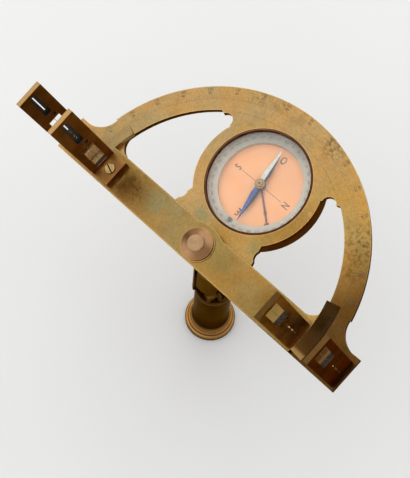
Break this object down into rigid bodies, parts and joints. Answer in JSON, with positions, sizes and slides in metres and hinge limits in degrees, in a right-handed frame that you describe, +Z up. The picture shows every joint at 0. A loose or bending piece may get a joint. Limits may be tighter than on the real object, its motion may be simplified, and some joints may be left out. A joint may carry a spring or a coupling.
{
  "type": "graphometer",
  "caption": "Brass half-circle angle measuring instrument with a compass, fixed sights and a sighted alidade, on a clamped ball joint over a staff socket.",
  "frame": {"origin": "centre of the staff socket's mouth, on the floor that the socket's foot stands on", "axes": "+Z up the socket, +X along the axis that the ball tilts about, +Y towards the raised limb"},
  "size_m": [0.2436, 0.1852, 0.2333],
  "materials": {
    "limb_brass": "aged lacquer, satin",
    "alidade_brass": "aged lacquer, worn",
    "sight_brass": "aged lacquer, satin",
    "arc_brass": "aged, polished bevel",
    "jaw_brass": "turned, darkened",
    "dark_brass": "turned, darkened",
    "box_brass": "red-brown patina",
    "screw_brass": "satin",
    "knob_metal": "reddish, worn matt",
    "copper_dial": "matt copper",
    "silvered_ring": "silvered, matt",
    "steel": "plain",
    "blued_steel": "blued at one end, bright at the other",
    "glass": "clear",
    "hair": "fine thread",
    "jewel": "polished agate",
    "lifter_red": "dark red varnish"
  },
  "bodies": {
    "socket": {"staff_socket": "dark_brass", "fixed_jaw": "jaw_brass", "fulcrum_pin": "steel"},
    "jaw": {"front_jaw": "jaw_brass"},
    "clamp": {"clamp_screw": "dark_brass"},
    "nut": {"clamp_nut": "dark_brass"},
    "ball": {"ball_stem": "jaw_brass"},
    "limb": {"limb_plate": "limb_brass", "fixed_sight_left": "sight_brass", "fixed_sight_right": "sight_brass", "fixed_sight_screws": "screw_brass", "fixed_sight_hairs": "hair", "compass_box": "box_brass", "compass_box_screws": "screw_brass", "compass_dial": "copper_dial", "chapter_ring": "silvered_ring", "compass_glass": "glass", "glass_ring": "box_brass", "needle_pivot": "steel", "lifter_hinge": "screw_brass"},
    "compass_needle": {"needle": "blued_steel", "needle_cap": "screw_brass", "cap_jewel": "jewel"},
    "lifter": {"needle_lifter": "lifter_red"},
    "lifter_push": {"lifter_screw": "screw_brass"},
    "alidade": {"alidade_bar": "alidade_brass", "index_arc_left": "arc_brass", "index_arc_right": "arc_brass", "alidade_sight_left": "sight_brass", "alidade_sight_right": "sight_brass", "alidade_sight_screws": "screw_brass", "alidade_sight_hairs": "hair"},
    "knob": {"pivot_knob": "knob_metal", "pivot_washer": "screw_brass"}
  },
  "joints": [
    {"name": "clamp_turn", "type": "hinge", "parent": "socket", "child": "clamp", "pos_m": [0, 0, 0.083], "axis": [-1, 0, 0], "range_deg": [0, 360]},
    {"name": "jaw_open", "type": "hinge", "parent": "socket", "child": "jaw", "pos_m": [0.0065, 0, 0.065], "axis": [0, 1, 0], "range_deg": [0, 3.02]},
    {"name": "nut_slide", "type": "slide", "parent": "socket", "child": "nut", "axis": [1, 0, 0], "range_m": [0, 0.00121]},
    {"name": "ball_tilt", "type": "hinge", "parent": "socket", "child": "ball", "pos_m": [0, 0, 0.1018], "axis": [1, 0, 0], "range_deg": [-58, 17]},
    {"name": "limb_turn", "type": "hinge", "parent": "ball", "child": "limb", "pos_m": [0, -0.01436, 0.14127], "axis": [0, -0.342, 0.9397], "continuous": true},
    {"name": "alidade_turn", "type": "hinge", "parent": "limb", "child": "alidade", "pos_m": [0, -0.01436, 0.14127], "axis": [0, -0.342, 0.9397], "continuous": true},
    {"name": "knob_turn", "type": "hinge", "parent": "ball", "child": "knob", "pos_m": [0, -0.01436, 0.14127], "axis": [0, -0.342, 0.9397], "continuous": true},
    {"name": "needle_turn", "type": "hinge", "parent": "limb", "child": "compass_needle", "pos_m": [-0.02197, 0.03609, 0.15325], "axis": [0, -0.342, 0.9397], "continuous": true},
    {"name": "lifter_raise", "type": "slide", "parent": "limb", "child": "lifter_push", "axis": [0, -0.342, 0.9397], "range_m": [0, 0.0004]},
    {"name": "lifter_lift", "type": "hinge", "parent": "limb", "child": "lifter", "pos_m": [0.0039, 0.03023, 0.14781], "axis": [0.274, 0.9037, 0.3289], "range_deg": [0, 2.9]}
  ],
  "couplings": [
    {"joint": "jaw_open", "follows": "clamp_turn", "ratio": 0.0083333},
    {"joint": "nut_slide", "follows": "clamp_turn", "m_per_rad": 0.00019098},
    {"joint": "lifter_lift", "follows": "lifter_raise", "rad_per_m": 125}
  ]
}
